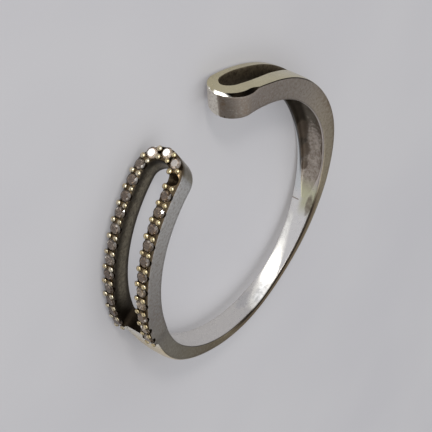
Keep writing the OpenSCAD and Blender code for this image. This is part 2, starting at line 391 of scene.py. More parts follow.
# Silver, by where it shows: the skin of the band, the walls of its cuts, the seats, the beads.
silver = {
    # the side walls' colour at angles round the ring
    "walls": [(13, (0.67, 0.66, 0.65)), (50, (0.49, 0.47, 0.45)), (78, (0.33, 0.305, 0.285)),
              (105, (0.42, 0.385, 0.315)), (140, (0.27, 0.225, 0.155)), (190, (0.52, 0.42, 0.25)),
              (250, (0.52, 0.45, 0.33)), (275, (0.50, 0.43, 0.335)), (300, (0.45, 0.395, 0.345)),
              (335, (0.36, 0.31, 0.275)), (345, (0.42, 0.375, 0.345))],
    "endGrey": (0.78, 0.74, 0.66), "endDark": (0.25, 0.215, 0.18), "tipOlive": (0.48, 0.43, 0.32),
    "loopGold": (0.67, 0.61, 0.41), "shoulderOlive": (0.46, 0.41, 0.27),
    "shankGold": (0.78, 0.64, 0.38), "railBrown": (0.20, 0.145, 0.08), "railGold": (0.62, 0.50, 0.27),
    "innerMatt": (0.74, 0.72, 0.69), "innerBright": (0.95, 0.94, 0.92),
    "innerGreen": (0.70, 0.69, 0.50), "innerMauve": (0.66, 0.60, 0.55),
    "innerStain": (0.24, 0.195, 0.155), "innerSmudge": (0.42, 0.43, 0.47),
    "rimPale": (0.84, 0.87, 0.88), "highlight": (0.98, 0.95, 0.86), "brown": (0.22, 0.15, 0.09),
    "black": (0.035, 0.026, 0.018), "bevelBlack": (0.008, 0.006, 0.004), "polish": (0.60, 0.595, 0.59),
    "polishWorn": (0.30, 0.295, 0.29), "slotOlive": (0.30, 0.262, 0.195),
    "slotDark": (0.145, 0.12, 0.085), "plainSlotBrown": (0.22, 0.175, 0.115),
    "plainSlotDark": (0.09, 0.07, 0.045), "hollowMauve": (0.60, 0.54, 0.48),
    "hollowBrown": (0.30, 0.245, 0.20), "hollowGrit": (0.20, 0.16, 0.12),
    "hollowDark": (0.15, 0.13, 0.10), "hollowStain": (0.16, 0.125, 0.095),
    "seatBrown": (0.10, 0.075, 0.045), "farBead": (0.92, 0.85, 0.68), "nearBead": (0.92, 0.77, 0.46),
    "wornBead": (0.60, 0.48, 0.28), "beadFoot": (0.10, 0.07, 0.04),
    "wallRoughness": 0.40,
    "outerRoughness": 0.24,
    "innerRoughness": 0.30,
    "polishRoughness": 0.3,
    "grain": 9.0,
}

# Brown patches in the hollow: angle, height, how far round, how far up, how strong.
hollowStains = [
    (251, -0.55, 4.0, 0.30, 0.85), (255, 0.75, 4.5, 0.30, 0.8), (244, -0.50, 3.0, 0.22, 0.9),
    (266, 0.55, 6.0, 0.45, 0.7), (262, -0.75, 6.0, 0.30, 0.7), (247, 0.75, 2.2, 0.16, 0.5),
]


def wallPaint(f, way, mottle):
    # the side walls: colours round the ring, then the plain end with painted light on its end face and a
    # painted shade line where its wall turns, grit, stains and the jewelled tip
    a, r, z = f.ringCoords()
    sideward = way[2]
    stops = [(angle / 360, colour(*tint)) for angle, tint in silver["walls"]]
    ramp = f.node("ShaderNodeValToRGB", {"stops": stops}, [a * (1 / 360)])
    # painted light: the plain end's face, found by the way it faces, is made lighter than the wall
    endFace = z.falling(0.02, 0.22) * sideward.rising(0.3, 0.5) * a.rising(338, 344)
    endFront = a.rising(336, 341) * z.rising(0.05, 0.25)
    grit = f.noise(6.0, 3.0, 0.75)
    # painted shade: a dark line where the plain end's near wall turns into its end face
    creaseShade = z.between(0.08, 0.16, 0.05) * a.rising(344, 346)
    frontStain = z.between(0.25, 0.60, 0.12) * a.rising(344, 346) * r.rising(8.9, 9.4)
    frontStain = frontStain * mottle.rising(0.4, 0.6)
    tip = sideward.falling(-0.42, -0.24) * a.falling(20.5, 24)
    pit = f.patch(346.9, 0.44, 0.3, 0.05, 0.3) * r.falling(8.6, 8.72)
    shoulderStain = a.between(248, 290, 14) * r.rising(9.1, 9.9) * mottle.rising(0.36, 0.62)
    wall = f.painted(
        ramp,
        (endFront * 0.75, "endDark"),
        (endFace, "endGrey"),
        (grit.rising(0.46, 0.66) * 0.42, "brown"),
        (grit.falling(0.30, 0.44) * 0.17, "highlight"),
        (creaseShade * 0.5, "brown"),
        (frontStain * 0.6, "brown"),
        (tip * (0.35 + mottle * 0.5), "tipOlive"),
        (tip * r.rising(9.55, 9.95) * 0.9, "railBrown"),
        (pit, "black"),
        (shoulderStain * 0.6, "brown"))
    return wall, endFront


def outerPaint(f, cloud):
    # the outer face: worn gold on the rails and round the shank, olive and pale gold on the plain loop
    a, z = f.angleAndHeight()
    worn = f.noise(6.5, 3.0, 0.7) + (a - 40) * 0.004
    farSide = z.falling(-1.25, -0.75) * a.between(300, 330, 12)
    return f.painted(
        "railBrown",
        (worn.rising(0.42, 0.60), "railGold"),
        (a.rising(90, 100), "shankGold"),
        (a.rising(225, 262), "shoulderOlive"),
        (a.rising(282, 318), "loopGold"),
        (cloud.rising(0.45, 0.7) * 0.25, "shoulderOlive"),
        (farSide * 0.45, "shoulderOlive"))


def innerPaint(f, mottle):
    # the inner face: matt in the shank, bright towards the shoulder, a brown patch beside the hollow, and
    # along the hollow's far rim a painted pale reflection and painted shade
    a, z = f.angleAndHeight()
    brownPatch = f.patch(226.6, 0.56, 5.4, 0.28, 0.8) * (0.35 + mottle * 0.8)
    line = a.between(226.85, 227.3, 0.2) * z.falling(-0.35, -0.25)
    # painted shade: a dark band along the hollow's far edge
    rimEdge = -0.66 - (a - 238) * 0.018
    rimShade = (z - rimEdge).rising(-0.06, 0.06) * a.between(241, 280, 5) * z.falling(-0.1, 0.0)
    return f.painted(
        "innerMatt",
        (a.rising(178, 190), "innerBright"),
        (a.rising(219, 227) * z.rising(-0.35, 0.10), "innerGreen"),
        ((a + mottle * 8).rising(236, 243), "innerMauve"),
        (brownPatch, "innerStain"),
        # painted reflection: a pale strip on the hollow's far rim
        (z.falling(-0.45, -0.15) * a.rising(226, 236), "rimPale"),
        # painted shade: black on the far rim towards the hollow's top end
        (a.rising(264, 276) * z.falling(-0.6, -0.3), "black"),
        (line * 0.85, "brown"),
        (f.patch(173, -0.25, 6, 0.5) * 0.35, "innerSmudge"),
        (rimShade * 0.85, "black"))


def edgePaint(f, base, way):
    # painted shade on the rails and their edges, the end's bevel with a painted dark reflection and a painted
    # highlight, a dark line beside the loop's top, dark lines and painted shade along the shank, painted
    # glints on its near edge
    a, r, z = f.ringCoords()
    outward, upward, sideward = way
    # painted shade: the rails darkened to brown beside the stones and beads, and to black on their rounded
    # edges
    railShade = a.falling(88, 93) * outward.rising(0.10, 0.35)
    bevel = outward.between(0.50, 0.955, 0.02) * (upward + sideward).rising(0.25, 0.35) * z.rising(-0.9, -0.7)
    # painted highlight on the bevel round the plain end's nose, whose shading also leans towards the window
    bevelHighlight = bevel * a.rising(345.2, 346.4)
    edgeLine = outward.between(0.25, 0.90, 0.08) * upward.rising(0.3, 0.4) * a.between(299, 335.5, 4)
    innerLine = outward.between(-0.93, -0.55, 0.05) * upward.rising(0.3, 0.4) * a.between(82, 165, 6)
    # painted shade: the shank's near wall turns brown and then black towards its inner edge
    shankSideShade = outward.rising(-0.95, -0.86) * upward.rising(0.25, 0.4) * a.between(158, 232, 8)
    glints = upward.rising(0.2, 0.4) * r.rising(8.95, 9.05) * a.between(167, 190, 4)
    glints = glints * f.noise(4.2, 2.0, 0.5).rising(0.52, 0.6)
    base = f.painted(
        base,
        (railShade, "railBrown"),
        (railShade * outward.falling(0.80, 0.95) * 0.65, "black"),
        # painted dark reflection along the rest of the bevel
        (bevel * a.rising(332.6, 335.4) * a.falling(345.6, 346.6), "bevelBlack"),
        (bevelHighlight, "highlight"),
        (edgeLine * 0.9, "black"),
        (innerLine * 0.7, "black"),
        (shankSideShade * r.falling(8.85, 9.15) * 0.7, "brown"),
        (shankSideShade * r.falling(8.66, 8.78) * 0.97, "black"),
        (glints * 0.5, "highlight"))
    return base, bevelHighlight


def polishedShare(f):
    # the polished band lies low on the inner face at its top end and crosses to the near edge lower down
    a, z = f.angleAndHeight()
    ragged = f.noise(1.3, 3.0, 0.55) - 0.5
    drift = ((220 - a) * (1 / 44)).atLeast(0.0)
    middle = drift.maths("POWER", drift, 1.5) * 1.08 - 0.60
    across = z.maths("ABSOLUTE", z - middle + ragged * 0.25) / (0.27 + drift * 0.27)
    ends = (a + ragged * 6).rising(169, 178) * (a + ragged * 3).falling(218.5, 221.5)
    streaks = f.noise(1.0, 3.0, 0.6, 0.0, f.node("ShaderNodeCombineXYZ", None, [a * 1.8, z * 0.5, 0.0]))
    return across.falling(0.2, 1.5) * ends * (0.55 + streaks * 0.9) * a.rising(190, 205, 1.0, 0.5)


def skinMaterial():
    f = Finish("skinSilver", silver)
    a = f.ringCoords()[0]
    way = f.parts(f.given("faceWay", 1))
    outward, upward = way[:2]
    cloud, mottle = f.noise(0.9, 3.0, 0.55), f.noise(3.6, 4.0, 0.6)
    grain, fine = f.noise(silver["grain"], 4.0, 0.7), f.noise(30.0, 2.0, 0.6)
    outerShare, innerShare = outward.rising(0.45, 0.85), outward.falling(-0.85, -0.45)

    wall, endFront = wallPaint(f, way, mottle)
    base = f.painted(wall, (outerShare, outerPaint(f, cloud)), (innerShare, innerPaint(f, mottle)))
    base, bevelHighlight = edgePaint(f, base, way)
    # painted highlight on the outer face just behind the jewelled foot, made less metallic there
    rimFade = (a + (mottle - 0.5) * 9).falling(89, 101)
    footRimHighlight = outward.rising(0.3, 0.6) * a.rising(87.6, 88.4) * rimFade * (0.55 + mottle * 0.5)
    base = f.blend(footRimHighlight, base, "highlight")

    matt, outerMatt, innerMatt = [silver[k + "Roughness"] for k in ("wall", "outer", "inner")]
    rough = matt + outerShare * (outerMatt - matt) + innerShare * (innerMatt - matt)
    rough = rough + (grain - 0.5) * 0.22 + endFront * (1 - outerShare) * 0.2
    relief = grain * 0.7 + fine * 0.3
    plain = f.metal(base, rough.atLeast(0.08), f.bump(relief, 0.3, 0.000010), 1 - footRimHighlight * 0.6)

    # what is polished leans its shading towards the window
    polished = (innerShare * polishedShare(f)).atMost(0.96)
    worked = f.noise(1.8, 5.0, 0.65, 0.6).rising(0.40, 0.60) * polished * 0.8
    shine = f.painted("highlight", (polished, "polish"), (worked, "polishWorn"))
    leaning = f.tilted(0.5 - upward.atLeast(0.0) * 0.5)
    polish = f.metal(shine, silver["polishRoughness"], f.bump(relief, 0.25, 0.000010, leaning))
    lit = (polished + bevelHighlight * a.rising(345.6, 346.6)).atMost(1.0)
    return f.surface(f.node("ShaderNodeMixShader", None, [lit, plain, polish]))


def slotMaterial():
    # the jewelled slot's walls: dark olive, with painted shade making them blacker along both edges and at
    # the foot
    f = Finish("slotSilver", silver)
    a, r = f.ringCoords()[:2]
    mottle, grain, grit = f.noise(3.0, 4.0, 0.6), f.noise(silver["grain"], 4.0, 0.7), f.noise(5.5, 3.0, 0.75)
    base = f.painted(
        "slotOlive",
        (mottle.rising(0.3, 0.7) * 0.6, "slotDark"),
        (grit.rising(0.45, 0.65) * 0.5, "black"),
        ((r.rising(9.30, 9.78) + r.falling(8.68, 8.98)).atMost(1.0) * 0.8, "black"),
        (a.rising(70, 84), "black"))
    return f.surface(f.metal(base, 0.38 + grain * 0.2, f.bump(grain, 0.35, 0.000015)))


def plainSlotMaterial():
    # the plain slot's walls: dark olive brown, with painted shade making them near black deeper in the slot,
    # towards the inner face
    f = Finish("plainSlotSilver", silver)
    r = f.ringCoords()[1]
    mottle, grain, grit = f.noise(3.0, 4.0, 0.6), f.noise(silver["grain"], 4.0, 0.7), f.noise(5.0, 3.0, 0.75)
    base = f.painted(
        "plainSlotBrown",
        (mottle.rising(0.3, 0.7) * 0.5, "plainSlotDark"),
        (grit.rising(0.45, 0.65) * 0.55, "black"),
        (r.falling(9.0, 9.7) * 0.6, "black"))
    return f.surface(f.metal(base, 0.42 + grain * 0.2, f.bump(grain, 0.45, 0.000018)))


def hollowMaterial():
    # the hollow's tarnish: mauve grey with brown blotches, pale at the shallow end; painted shadow makes it
    # dark towards its top end, black at it and along its far side
    f = Finish("hollowSilver", silver)
    a, z = f.angleAndHeight()
    mottle, grain, grit = f.noise(2.4, 5.0, 0.65), f.noise(silver["grain"], 4.0, 0.7), f.noise(5.5, 3.0, 0.75)
    base = f.painted(
        "hollowMauve",
        (mottle.rising(0.38, 0.62) * 0.55, "hollowBrown"),
        (grit.rising(0.45, 0.65) * 0.5, "hollowGrit"),
        (a.falling(230, 240), "innerGreen"),
        # painted shadow: darker towards the top end, black at it, and black along the far side
        ((a + (mottle - 0.5) * 36).rising(259, 268) * 0.85, "hollowDark"),
        ((a + z * 6 + (mottle - 0.5) * 20).rising(272, 284), "black"),
        (z.falling(-0.7, -0.35) * a.rising(238, 250) * 0.85, "black"),
        *[(f.patch(*place) * share, "hollowStain") for *place, share in hollowStains])
    return f.surface(f.metal(base, 0.46 + grain * 0.2, f.bump(grain * 0.6 + mottle * 0.8, 0.5, 0.000025)))


def seatMaterial():
    f = Finish("seatSilver", silver)
    grain = f.noise(silver["grain"], 4.0, 0.7)
    base = f.blend(grain.rising(0.35, 0.65), "seatBrown", "black")
    return f.surface(f.metal(base, 0.35 + grain * 0.2, f.bump(grain, 0.4, 0.000012)))


def beadMaterial():
    # golder on the near rail, and painted shade darkening each bead's foot
    f = Finish("beadSilver", silver)
    z = f.ringCoords()[2]
    mottle, grain = f.noise(5.0, 4.0, 0.6), f.noise(26.0, 3.0, 0.6)
    low = f.given("low")
    base = f.painted(
        "farBead",
        (z.rising(-0.6, 0.6), "nearBead"),
        (mottle.rising(0.35, 0.65), "wornBead"),
        (low.rising(0.25, 0.8), "beadFoot"))
    return f.surface(f.metal(base, 0.14 + grain * 0.2, f.bump(grain, 0.3, 0.00001)))


stoneTints = {
    "brown": (0.46, 0.30, 0.19), "pale": (0.86, 0.74, 0.62), "warm": (0.90, 0.70, 0.46),
    "facet": (0.085, 0.05, 0.03), "cloud": (0.20, 0.14, 0.09), "flash": (0.80, 0.84, 0.90),
    "rim": (0.06, 0.038, 0.02), "glow": (0.80, 0.78, 0.74),
    "refraction": 1.85, "clear": 0.55,
}


def stoneMaterial():
    # clear stones with a brown cast, no two alike, with painted dark facets, a painted dark reflection on the
    # crown, and a painted flash and glints given off as emission
    s = stoneTints
    f = Finish("cutStone", s)
    tone, flash, facet, rim = [f.given(label) for label in ("tone", "flash", "facet", "rim")]
    a, z = f.angleAndHeight()
    cloud, smear = f.noise(2.6, 3.0, 0.6), f.noise(14.0, 3.0, 0.6)
    lowRow = a.rising(52, 72) * z.rising(0.0, 0.5)
    base = f.painted(
        "brown",
        (tone, f.blend(z.rising(-0.6, 0.6), "pale", "warm")),
        # painted shade: facets darkened at random, fewer on the near row's low stones
        (facet.rising(0.15, 0.75, 0.8, 0.0) * (1 - lowRow * 0.35), "facet"),
        (cloud.rising(0.4, 0.65) * 0.25, "cloud"),
        # painted flash: a pale table on the stones at the tip
        (flash * rim.rising(0.565, 0.66, 0.8, 0.0), "flash"),
        # painted dark reflection: the crown darkens towards the girdle
        (rim.rising(0.57, 0.80) * 0.85, "rim"))
    # painted flash and glints, given off as emission
    spark = (flash * rim.falling(0.565, 0.64) * 1.1).atMost(1.0)
    glint = facet.rising(0.88, 0.93) * (0.18 + tone * 0.25 + lowRow * 0.22) * rim.falling(0.7, 0.95)
    glow = f.blend(spark.atLeast(glint), colour(0, 0, 0), "glow")
    return f.surface(f.node("ShaderNodeBsdfPrincipled", None, {
        "Base Color": base, "Roughness": smear.rising(0.5, 0.8) * 0.12, "IOR": s["refraction"],
        "Transmission Weight": s["clear"], "Emission Color": glow, "Emission Strength": 1.0}))


skinSilver = skinMaterial()
slotSilver = slotMaterial()
plainSlotSilver = plainSlotMaterial()
hollowSilver = hollowMaterial()
seatSilver = seatMaterial()
beadSilver = beadMaterial()
cutStone = stoneMaterial()
bandFinishes = [skinSilver, slotSilver, plainSlotSilver, hollowSilver, seatSilver]
slotFinish, plainSlotFinish, hollowFinish, seatFinish = range(1, 5)
print("finishes made")


def giveFinish(thing, index):
    # the band's own list of finishes, with every face on one of them
    thing.data.materials.clear()
    for finish in bandFinishes:
        thing.data.materials.append(finish)
    thing.data.polygons.foreach_set("material_index", [index] * len(thing.data.polygons))


# The band's body: a section swept round the ring. A point near the outline is rounded away.
bandBody = {
    "noseSteps": 22, "step": 1.0, "faceColumns": 34, "innerColumns": 8, "wallRows": 5,
    "outlineScale": math.radians(9.6),             # millimetres for a degree, where the outline is measured
    "bevelSteps": (332.4, 338.4, 0.3),             # close steps where the end's bevel begins
    "edgeSteps": (0.0, 0.1, 0.29, 0.56, 1.0),      # shares of an edge's rounding
}


def bandStations():
    t = np.linspace(0, math.pi / 2, bandBody["noseSteps"], endpoint=False)
    first = ring["jewelledTip"] + ring["jewelledNose"] * (1 - np.cos(t))
    last = ring["plainTip"] - ring["plainNose"] * (1 - np.cos(t))[::-1]
    start, end = ring["jewelledTip"] + ring["jewelledNose"], ring["plainTip"] - ring["plainNose"]
    middle = np.linspace(start, end, int((end - start) / bandBody["step"]) + 1)
    return np.unique(np.concatenate([first, middle, np.arange(*bandBody["bevelSteps"]), last]))


def edgeDrop(a, u):
    return along(section, dropOf, a) * np.abs(u) ** along(section, flatOf, a)


def bevelShare(a):
    return eased((a - ring["bevelStart"]) / ring["bevelRun"])


def endBevel(a, z, inside):
    # a flat cut along the plain end's near edge and round its nose, narrowing to nothing at its start
    share = bevelShare(a)
    depth = ring["endBevel"] * share * eased((z + 0.95) / 0.4) * (1 - 0.3 * eased((a - 340) / 5))
    return depth * np.maximum(0, 1 - inside / (ring["bevelWidth"] * np.maximum(share, 0.08)))


def filletDrop(inside, radius):
    # how far a face falls away this far inside the outline
    s = radius - np.minimum(np.maximum(inside, 0), radius)
    return radius - np.sqrt(np.maximum(radius ** 2 - s ** 2, 0))


def buildBand():
    a = bandStations()
    w, m, ri, ro, rise = halfWidth(a), along(section, asideOf, a), faceRadius(a), outerRadius(a), railRise(a)
    scale = bandBody["outlineScale"]
    sides = [np.stack([a * scale, m + side * w], 1) for side in (-1, 1)]
    tips = [np.stack([np.full(9, t * scale), np.linspace(-0.12, 0.12, 9)], 1)
            for t in (ring["jewelledTip"], ring["plainTip"])]
    outline = np.concatenate([*sides, *tips])

    def inset(grid):
        # distance from each point of a grid to the outline
        spots = np.stack([np.repeat((a * scale)[:, None], grid.shape[1], 1), grid], -1).reshape(-1, 2)
        near = [((p[:, None] - outline[None]) ** 2).sum(-1).min(1) for p in np.array_split(spots, 40)]
        return np.sqrt(np.concatenate(near)).reshape(grid.shape)

    def columns(radius, count):
        # heights across a face, closer together where the edge rounds
        e = np.minimum(radius, w * 0.45)
        edge = np.array(bandBody["edgeSteps"])[None] * e[:, None] - w[:, None]
        middle = np.linspace(-1, 1, count + 2)[None, 1:-1] * (w - e)[:, None]
        return np.concatenate([edge, middle, -edge[:, ::-1]], 1)

    outRadius = np.interp(a, outerEdge[:, 0], outerEdge[:, 1])
    inRadius = np.full(len(a), ring["innerEdge"])
    zOut = columns(outRadius, bandBody["faceColumns"])
    bevelWide = ring["bevelWidth"] * np.maximum(bevelShare(a), 0.3)
    bevelLine = w[:, None] - np.minimum(bevelWide, 0.9 * w)[:, None] + np.array([[-0.018, 0.018]])
    zOut = np.sort(np.concatenate([zOut, bevelLine], 1), 1)
    u = zOut / w[:, None]
    lift = rise[:, None] * eased((np.abs(u) - 0.38) / 0.08)
    inside = inset(zOut + m[:, None])
    lift = lift + railCrown(a)[:, None] * crownShare(inside)
    rOut = ro[:, None] - edgeDrop(a[:, None], u) - endBevel(a[:, None], zOut + m[:, None], inside) + lift
    rOut = rOut - filletDrop(inside, outRadius[:, None])
    zIn = columns(inRadius, bandBody["innerColumns"])[:, ::-1]
    rIn = ri[:, None] + filletDrop(inset(zIn + m[:, None]), inRadius[:, None])
    share = np.linspace(0, 1, bandBody["wallRows"] + 2)[None, 1:-1]
    nearR = rOut[:, -1:] + (rIn[:, :1] - rOut[:, -1:]) * share
    farR = rIn[:, -1:] + (rOut[:, :1] - rIn[:, -1:]) * share
    wallZ = np.repeat(w[:, None], bandBody["wallRows"], 1)
    z = np.concatenate([zOut, wallZ, zIn, -wallZ], 1)
    r = np.concatenate([rOut, nearR, rIn, farR], 1)
    return loftRings("bandMetal", np.repeat(a[:, None], z.shape[1], 1), r, z + m[:, None])


def loftRings(name, a, r, z):
    # a closed solid through rings of points, one ring to a row
    rows, n = a.shape
    points = ringSpots(a, r, z).reshape(-1, 3)
    i, j = np.meshgrid(np.arange(rows - 1), np.arange(n), indexing="ij")
    p, q = (i * n + j).ravel(), (i * n + (j + 1) % n).ravel()
    sides = np.stack([p, p + n, q + n, q], 1).tolist()
    caps = [list(range(n)), [(rows - 1) * n + k for k in range(n - 1, -1, -1)]]
    made = meshObject(name, points, sides + caps, bandFinishes)
    pointOut(made)
    return made


def pointOut(thing):
    # turns a closed mesh's faces outwards
    mesh = thing.data
    co = np.array([v.co for v in mesh.vertices], float) * 1000
    mesh.calc_loop_triangles()
    t = np.array([x.vertices for x in mesh.loop_triangles])
    volume = np.einsum("ij,ij->i", co[t[:, 0]], np.cross(co[t[:, 1]], co[t[:, 2]])).sum() / 6
    if volume < 0:
        mesh.flip_normals()
    return abs(volume)


# Cutters. A cut's outline is offset outwards by a little at each of its levels, which rounds its mouth.
jewelledSlot = {"start": 17.9, "foot": 88.2, "half": 0.83, "nose": 5.5, "footNose": 2.4, "flare": 0.2}
cutDetail = {
    "jewelledSteps": 110, "plainSteps": 90, "hollowSteps": 90, "packed": 16,
    "jewelledMouth": 0.03, "plainMouth": 0.05, "hollowMouth": 0.05,      # how far the mouths are rounded
    "hollowDepth": 0.68,
    "hollowTaper": 0.88,       # how much narrower the hollow's floor is
    "plainRound": 337.3,       # where the plain slot's round end begins
    "beyond": 1.2,             # how far a cutter reaches past the faces
    "together": 2.6e-6,        # points nearer than this are joined after the cuts, in metres
}


def cutterMesh(name, a, near, far, levels, finishIndex):
    # levels: radius, how far the outline spreads there, how much narrower it is
    scale = bandBody["outlineScale"]
    loop = np.concatenate([np.stack([a * scale, near], 1), np.stack([a * scale, far], 1)[::-1]])
    turn = np.concatenate([a, a[::-1]])
    middle = np.concatenate([(near + far) / 2, (near + far)[::-1] / 2])
    run = np.roll(loop, -1, 0) - np.roll(loop, 1, 0)
    side = np.stack([-run[:, 1], run[:, 0]], 1)
    side /= np.maximum(np.linalg.norm(side, axis=1), 1e-9)[:, None]
    if ((loop - loop.mean(0)) * side).sum() < 0:
        side = -side
    n, k = len(a), len(levels)
    points = []
    for radius, spread, narrower in levels:
        spot = loop + side * (spread(turn) + 0 * turn)[:, None]
        height = middle + (spot[:, 1] - middle) * (1 - narrower)
        points.append(ringSpots(spot[:, 0] / scale, radius(turn), height))
    points = np.concatenate(points)
    faces = []
    for level in range(k - 1):
        for j in range(2 * n):
            p, q = level * 2 * n + j, level * 2 * n + (j + 1) % (2 * n)
            faces.append([p, q, q + 2 * n, p + 2 * n])
    for base, flip in ((0, False), ((k - 1) * 2 * n, True)):
        for j in range(n - 1):
            cap = [base + j, base + 2 * n - 1 - j, base + 2 * n - 2 - j, base + j + 1]
            faces.append(cap[::-1] if flip else cap)
    made = meshObject(name, points, faces)
    giveFinish(made, finishIndex)
    pointOut(made)
    return made


def cosineSteps(start, end, count, startSpan, endSpan):
    # stations packed close at both ends
    near = 1 - np.cos(np.linspace(0, math.pi / 2, cutDetail["packed"], endpoint=False))
    middle = np.linspace(start + startSpan, end - endSpan, count)
    return np.concatenate([start + startSpan * near, middle, end - endSpan * near[::-1]])


def slotHalf(a):
    s = jewelledSlot
    tip = np.maximum(0.06, roundOff((a - s["start"]) / s["nose"]))
    return s["half"] * tip * (0.35 + 0.65 * roundOff((s["foot"] - a) / s["footNose"]))


def mouthLevels(outer, e, flare=None):
    # a through cut whose mouths are rounded by e
    wide = flare or (lambda a: 0 * a)
    steps = [(-cutDetail["beyond"], 2.2), (e * -0.6, 1.5), (e * 0.1, 0.7), (e * 0.5, 0.25), (e * 1.3, 0.0)]

    def level(face, deep, spread, share):
        return lambda a: face(a) + deep, lambda a: e * spread + wide(a) * share, 0

    inner = [level(faceRadius, deep, spread, 1) for deep, spread in steps]
    return inner + [level(outer, -deep, spread, 0.5) for deep, spread in steps[::-1]]


def jewelledSlotCutter():
    s = jewelledSlot
    a = cosineSteps(s["start"], s["foot"], cutDetail["jewelledSteps"], s["nose"], s["footNose"])
    w = slotHalf(a)
    flare = lambda b: s["flare"] * 0.75 * slotHalf(b) / s["half"]
    levels = mouthLevels(railRadius, cutDetail["jewelledMouth"], flare)
    return cutterMesh("jewelledSlotCut", a, w, -w, levels, slotFinish)


def plainSlotCutter():
    first, last = plainSlot[0, 0], plainSlot[-1, 0]
    a = first + (last - first) * np.sin(np.linspace(0, math.pi / 2, cutDetail["plainSteps"]))
    near, far = along(plainSlot, 1, a), along(plainSlot, 2, a)
    # past the last wide row the end is rounded like an ellipse
    start = cutDetail["plainRound"]
    s = np.clip((a - start) / (last + 0.02 - start), 0, 1)
    middle = -0.24 - 0.04 * s
    half = (along(plainSlot, 1, start) - along(plainSlot, 2, start)) / 2 * (1 - s * s) ** 0.58
    near, far = np.where(a > start, middle + half, near), np.where(a > start, middle - half, far)
    levels = mouthLevels(outerRadius, cutDetail["plainMouth"])
    return cutterMesh("plainSlotCut", a, near, far, levels, plainSlotFinish)


def hollowCutter():
    a = np.linspace(hollow[0, 0], hollow[-1, 0], cutDetail["hollowSteps"])
    depth = lambda b: cutDetail["hollowDepth"] * along(hollow, 3, b)
    e = lambda b: cutDetail["hollowMouth"] * np.minimum(1, depth(b) / 0.3)
    levels = [(lambda b: faceRadius(b) - 1.0, lambda b: 2.5 * e(b), 0),
              (lambda b: faceRadius(b) - 0.02, lambda b: 1.3 * e(b), 0),
              (lambda b: faceRadius(b) + 0.02 * depth(b), lambda b: 0.6 * e(b), 0)]
    for t in np.linspace(0.07, 1, 9) * math.pi / 2:
        narrower = cutDetail["hollowTaper"] * (1 - math.cos(t)) ** 1.5
        levels.append((lambda b, t=t: faceRadius(b) + depth(b) * math.sin(t), lambda b: 0 * b, narrower))
    return cutterMesh("hollowCut", a, along(hollow, 1, a), along(hollow, 2, a), levels, hollowFinish)


# Stones sit in a U: up the near row, round the tip, down the far row.
stoneRow = {
    "count": 11, "start": 27.6, "pitch": 5.93, "railWidth": 0.84, "emptySeat": 12,
    "tip": [(21.9, 1.24), (16.8, 0.86), (14.8, 0.0), (16.9, -0.90), (22.0, -1.26)],
}
stoneCut = {
    "radius": 0.44, "table": 0.56, "crown": 0.15, "girdle": 0.02, "point": 0.37, "rise": 0.05,
    "smallest": 0.84, "largest": 0.89, "tilt": 0.07, "seed": 5, "toneSeed": 8, "facetSeed": 3,
    "firstFlash": 11, "flashes": (0.25, 1.0, 0.85),      # the stones at the tip that get a painted flash
}
beadShape = {
    "side": 0.25, "sides": 20, "dome": 0.165, "rise": 0.15, "flatness": 0.8,
    "domeSteps": (18, 36, 54, 72, 90),
    "foot": [(0.72, -0.06), (0.45, -0.18)],              # below the dome: share of its radius, height
    "lift": -0.035, "smallest": 0.95, "largest": 1.15, "tilt": 0.09, "seed": 11,
}
seatShape = {
    "sides": 36, "depth": 0.62, "shoulder": 0.16, "floor": 0.1, "above": 0.5,
    "smallest": 0.83, "largest": 0.83,
    "mouth": [(0.52, 0.04), (0.49, 0.005), (0.462, -0.03)],
    "notch": 0.22, "notchSides": 20, "notchLong": 0.57, "notchDrop": 0.06,
}
anyTurn = 6.28


def rowHeight(a, side):
    middle = along(section, halfOf, a) - stoneRow["railWidth"] / 2 + 0.02
    return float(along(section, asideOf, a) + side * middle)


def seatPlaces():
    row = [stoneRow["start"] + k * stoneRow["pitch"] for k in range(stoneRow["count"])]
    near = [(a, rowHeight(a, 1)) for a in reversed(row)]
    return np.array(near + stoneRow["tip"] + [(a, rowHeight(a, -1)) for a in row])


def beadPlaces(seats):
    # a pair between every two seats and a pair past each end, lapping the stones' edges a little
    pairs = [(seats[0], seats[1], seats[0] + (seats[0] - seats[1]) * 0.52)]
    pairs += [(p, q, (p + q) / 2) for p, q in zip(seats, seats[1:])]
    pairs += [(seats[-2], seats[-1], seats[-1] + (seats[-1] - seats[-2]) * 0.52)]
    found = []
    for p, q, m in pairs:
        d = np.array([math.radians(q[0] - p[0]) * float(railRadius((p[0] + q[0]) / 2)), q[1] - p[1]])
        d = d / np.linalg.norm(d)
        for s in (-beadShape["side"], beadShape["side"]):
            found.append((m[0] - d[1] * math.degrees(s / float(railRadius(m[0]))), m[1] + d[0] * s))
    return np.array(found)


def roundOf(count, radius, height, turn=0.0):
    # a ring of points round the axis
    steps = [2 * math.pi * k / count + turn for k in range(count)]
    return [(radius * math.cos(t), radius * math.sin(t), height) for t in steps]


def spinShape(name, profile, sides, finishes=()):
    # a turned solid from (radius, height) pairs, top first; a zero radius closes it
    points, rings = [], []
    for radius, height in profile:
        if radius == 0:
            rings.append([len(points)])
            points.append((0, 0, height))
        else:
            rings.append(list(range(len(points), len(points) + sides)))
            points += roundOf(sides, radius, height)
    faces = []
    for top, low in zip(rings, rings[1:]):
        for k in range(sides):
            t, b = top[k % len(top)], low[k % len(low)]
            t2, b2 = top[(k + 1) % len(top)], low[(k + 1) % len(low)]
            corners = (t, b, b2, t2)
            faces.append([v for i, v in enumerate(corners) if v not in corners[:i]])
    made = meshObject(name, points, faces, finishes, False)
    pointOut(made)
    return made


